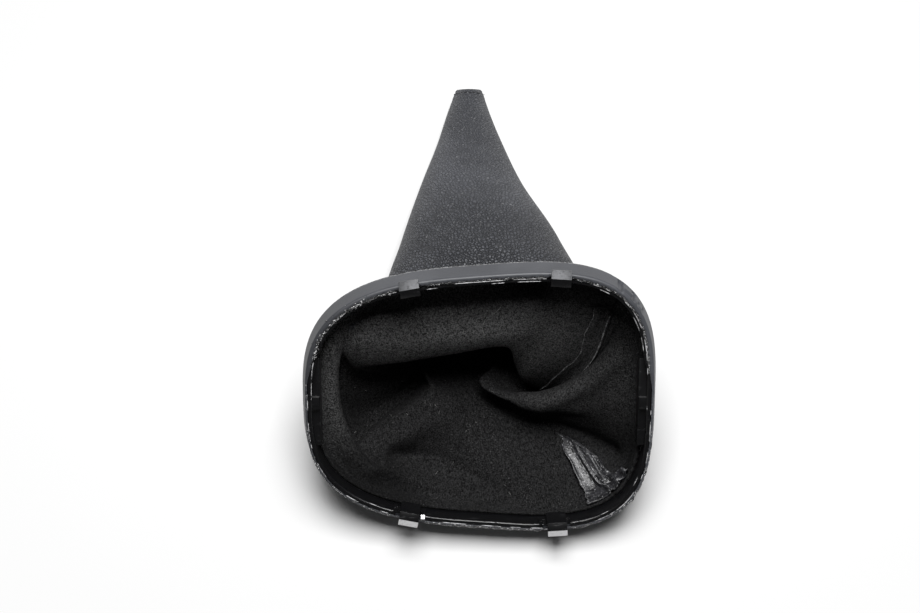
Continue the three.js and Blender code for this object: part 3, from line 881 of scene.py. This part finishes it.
def edgeGlue():
    steps, sides = glueEdge["steps"], glueEdge["sides"]
    turn = np.linspace(0, 1, steps + 1)
    amount = sum(level * stretch(turn, a, b, 0.006) for a, b, level in glueEdge["runs"])
    for place in hookTurns:
        half = glueEdge["hookHalf"]
        amount = amount * (1 - stretch(turn, place - half, place + half, glueEdge["hookFade"]))

    def lumps(width):
        raw = noise.normal(size=(steps, sides))
        total = sum(np.roll(raw, k, 0) for k in range(-width, width + 1))
        total = total / total.std()
        return np.vstack([total, total[:1]])

    coarse, fine = lumps(5), lumps(1)
    angle = np.linspace(0, 2 * math.pi, sides + 1)
    over = foldedOver(turn)
    rows = []
    for k, a in enumerate(angle):
        j = k % sides
        wide = 0.2 + amount * np.clip(0.8 + 0.25 * coarse[:, j] + 0.3 * fine[:, j], 0.05, 1.7)
        tall = 0.1 + amount * np.clip(0.2 + 0.1 * coarse[:, j] + 0.16 * fine[:, j], 0.02, 0.6)
        offset = glueEdge["middle"] + 0.5 * amount * (1 - over) - glueEdge["inwards"] * over + wide * math.cos(a)
        depth = glueEdge["below"] - 0.3 * over - tall * math.sin(a) + 0.35 * wide * max(0, math.cos(a)) * (1 - over)
        rows.append(onRing(turn, offset, depth))
    return roundTheRing("trimmed_edge", turn, rows, angle / 6000, glueLook)


# Pale strands on the rim's front edges as painted highlight, broken where the hooks stand
rimEdges = {
    "steps": 1400, "hookHalf": 0.0135, "leastRun": 7,
    # offset, depth, radius, share that shows, start, end
    "lines": [(0.0, -0.12, 0.18, 1.1, 0.03, 0.475), (-1.05, 0.27, 0.15, 0.7, 0.05, 0.46),
              (1.52, -0.03, 0.15, 0.75, 0.478, 1.0), (0.02, -0.03, 0.12, 0.4, 0.478, 1.0)],
}


def rimHighlightLines():
    bits, steps = [], rimEdges["steps"]
    for offset, depth, radius, share, first, last in rimEdges["lines"]:
        turn = np.linspace(0, 1, steps + 1)
        rough = noise.normal(size=steps)
        rough = sum(np.roll(rough, k) for k in range(-7, 8)) / 3.9
        shows = (np.append(rough, rough[0]) > (0.75 - share) * 2) & (turn > first) & (turn < last)
        for place in hookTurns:
            shows &= np.abs(turn - place) > rimEdges["hookHalf"]
        changes = np.flatnonzero(np.diff(np.concatenate([[0], shows[:-1], [0]])))
        for start, end in zip(changes[::2], changes[1::2]):
            if end - start > rimEdges["leastRun"]:
                path = onRing(turn[start:end], offset, depth)
                bits.append(strandPiece("edge", path, tapered(end - start, radius), rimHighlightLook, 5))
    return joined("rim_painted_highlight_lines", bits)


# A narrow ledge inside the rim on its upper half, its foot within the wall
ledge = {"steps": 720, "out": 1.05, "near": 0.3, "far": 1.3, "slope": 0.3, "range": (0.05, 0.46, 0.02)}


def innerLedge():
    turn = np.linspace(0, 1, ledge["steps"] + 1)
    foot, edge = 0.05, -0.02 - ledge["out"] * stretch(turn, *ledge["range"])
    near, far = ledge["near"], ledge["far"]
    section = ((foot, near), (edge, near), (edge, far), (foot, far + ledge["slope"]), (foot, near))
    rows = [onRing(turn, offset, depth) for offset, depth in section]
    piece = roundTheRing("inner_ledge", turn, rows, np.arange(5) / 1000, plasticLook)
    bpy.ops.object.shade_flat()
    return piece


# A pale strand along the strip's far edge: painted highlight
bead = {"offset": 4.18, "depth": 10.5, "radius": 0.24, "range": (0.13, 0.44, 420)}


def farBead():
    path = onRing(np.linspace(*bead["range"]), bead["offset"], bead["depth"])
    piece = strandPiece("strip_far_bead_painted_highlight", path, tapered(len(path), bead["radius"]), edgeLook, 8)
    closeUp(piece)
    return piece


# A small pale metal cube beside the lower left hook, its flat top facing up to the lamp: painted highlight. Its size
# and rounding in metres
post = {"along": -21.4, "out": 0.35, "depth": -0.35, "size": 0.0017, "rounding": 0.00018}


def brightPost():
    at = onRing(nearestTurn(post["along"], -1), post["out"], post["depth"]) / 1000
    bpy.ops.mesh.primitive_cube_add(size=post["size"], location=tuple(at))
    piece = bpy.context.object
    piece.name = piece.data.name = "rim_post_painted_highlight"
    bpy.ops.object.transform_apply(location=True, rotation=True, scale=True)
    piece.data.materials.append(hookLook)
    rounding = piece.modifiers.new("rounding", "BEVEL")
    rounding.width, rounding.segments = post["rounding"], 2
    bpy.ops.object.modifier_apply(modifier=rounding.name)
    return piece


stripBead = farBead()
for piece, slot in ((innerLedge(), "plastic"), (stripBead, "wrap"), (brightPost(), "plastic")):
    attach(piece, "root")
trimmedEdge = edgeGlue()
rimBits = rimHighlightLines()
for piece, slot in ((rimBits, "plastic"), (trimmedEdge, "wrap")):
    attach(piece, "root")
print("trimmed edge made")

# Camera, floor, surround and lamp, in metres and degrees
studio = {
    "cameraPlace": (-0.00725, -0.25815, 0.53183), "cameraTilt": 26.0, "cameraLens": 55.0, "sensorWidth": 36,
    "pictureMiddle": (460, 306.5), "pixelsPerUnit": 1405.6,
    "floorSize": 12.0, "floorLit": (0.5, 0.5, 0.5, 1), "floorSeen": (0.66, 0.66, 0.66, 1),
    "glow": 0.985, "glowShare": 0.9, "glowFrom": 0.12, "glowFull": 0.3, "surround": 0.06,
    "lampPlace": (0.04, 0.24, 1.3), "lampAim": (0, -0.02, 0.03), "lampSize": 0.85, "lampPower": 31.0,
}
# Lint and stray fibres lying on the fleece
lint = {
    "radius": 0.055, "count": 46, "points": 9, "limits": ((345, 600), (305, 495), (0.5, 1.5), (0, 360)),
    "bend": 0.5, "pixelsPerMm": 2.6, "lift": (0.00012, 0.00025), "longestStep": 0.6,
    # across and down in the picture, length in millimetres, heading in degrees
    "strays": [(356, 338, 4.5, 290), (333, 352, 3.0, 275), (451, 324, 3.0, 20), (498, 310, 5.0, 35),
               (483, 331, 4.0, 290), (484, 322, 2.6, 80), (430, 404, 2.2, 300), (425, 402, 1.4, 250),
               (436, 406, 1.6, 330), (402, 381, 1.2, 10), (554, 346, 1.2, 30), (560, 380, 2.2, 200)],
}


# The boot's point at a place in the picture, and its normal
def picturePoint(px, py):
    tilt = math.radians(studio["cameraTilt"])
    middleX, middleY = studio["pictureMiddle"]
    x, y = (px - middleX) / studio["pixelsPerUnit"], (middleY - py) / studio["pixelsPerUnit"]
    direction = np.array([x, y * math.cos(tilt) + math.sin(tilt), y * math.sin(tilt) - math.cos(tilt)])
    origin = np.array(studio["cameraPlace"])
    best = None
    for panel in (mainPanel, endPanel):
        hit, where, facing, _ = panel.ray_cast(tuple(origin), tuple(direction / np.linalg.norm(direction)))
        if hit and (best is None or (where[:] - origin) @ direction < (best[0] - origin) @ direction):
            best = (np.array(where[:]), np.array(facing[:]))
    return best


def lintPiece():
    bits = []
    spots = list(lint["strays"])
    while len(spots) < lint["count"]:
        spots.append([random.uniform(*limits) for limits in lint["limits"]])
    for px, py, length, heading in spots:
        a = math.radians(heading)
        bend = random.uniform(-lint["bend"], lint["bend"])
        path = []
        for t in np.linspace(0, 1, lint["points"]):
            run = (t - 0.5) * length * lint["pixelsPerMm"]
            found = picturePoint(px + run * math.cos(a + bend * t), py - run * math.sin(a + bend * t))
            if found is None:
                break
            path.append((found[0] + found[1] * (lint["lift"][0] + lint["lift"][1] * t)) * 1000)
        if len(path) < lint["points"]:
            continue
        if np.linalg.norm(np.diff(path, axis=0), axis=1).max() > length * lint["longestStep"]:
            continue
        radius = lint["radius"] * random.uniform(0.6, 1.1)
        bits.append(strandPiece("fibre", path, tapered(len(path), radius), lintLook, 4))
    return joined("fleece_lint", bits)


lintBits = lintPiece()
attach(lintBits, "root")
print("lint made")

# The floor fades to an even white glow away from the object, for the camera alone
bpy.ops.mesh.primitive_plane_add(size=studio["floorSize"])
floor = bpy.context.object
floor.name = "floor"
f = Finish("white_floor")
seen = f.node("ShaderNodeLightPath", {}, {}, "Is Camera Ray")
lit = f.node("ShaderNodeBsdfDiffuse", {}, {"Color": f.mix(seen, studio["floorLit"], studio["floorSeen"])})
glow = f.node("ShaderNodeEmission", {}, {"Color": (1, 1, 1, 1), "Strength": studio["glow"]})
away = f.node("ShaderNodeVectorMath", {"operation": "LENGTH"}, {0: f.place()}, "Value")
share = seen * (studio["glowShare"] * away.between(studio["glowFrom"], studio["glowFull"]))
mixed = f.node("ShaderNodeMixShader", {}, {0: share, 1: lit, 2: glow})
f.feed(f.tree.nodes["Material Output"].inputs["Surface"], mixed)
floor.data.materials.append(f.material)

# White where the camera looks past the floor, dim as a light
f = Finish("surround", bpy.data.worlds, "Background")
seen, through = (f.node("ShaderNodeLightPath", {}, {}, ray) for ray in ("Is Camera Ray", "Is Transmission Ray"))
level = f.maths("MAXIMUM", f.maths("MAXIMUM", seen, through), studio["surround"])
bpy.context.scene.world = f.set(Color=(1, 1, 1, 1), Strength=level)

# One soft lamp above, turned to its aim
bpy.ops.object.light_add(type="AREA", location=studio["lampPlace"])
lamp = bpy.context.object
lamp.name = "top"
lamp.data.shape = "RECTANGLE"
lamp.data.size = lamp.data.size_y = studio["lampSize"]
lamp.data.energy = studio["lampPower"]
x, y, z = (a - b for a, b in zip(studio["lampPlace"], studio["lampAim"]))
lamp.rotation_euler = (math.atan2(math.hypot(x, y), z), 0, math.atan2(x, -y))

camera = bpy.data.cameras.new("camera")
cameraObject = bpy.data.objects.new("camera", camera)
bpy.context.scene.collection.objects.link(cameraObject)
camera.sensor_width, camera.lens = studio["sensorWidth"], studio["cameraLens"]
camera.clip_start = 0.01
cameraObject.location = studio["cameraPlace"]
cameraObject.rotation_euler = (math.radians(studio["cameraTilt"]), 0, 0)
bpy.context.scene.camera = cameraObject
bpy.context.scene.view_settings.view_transform = "Standard"
print("studio set")

bpy.context.view_layer.update()
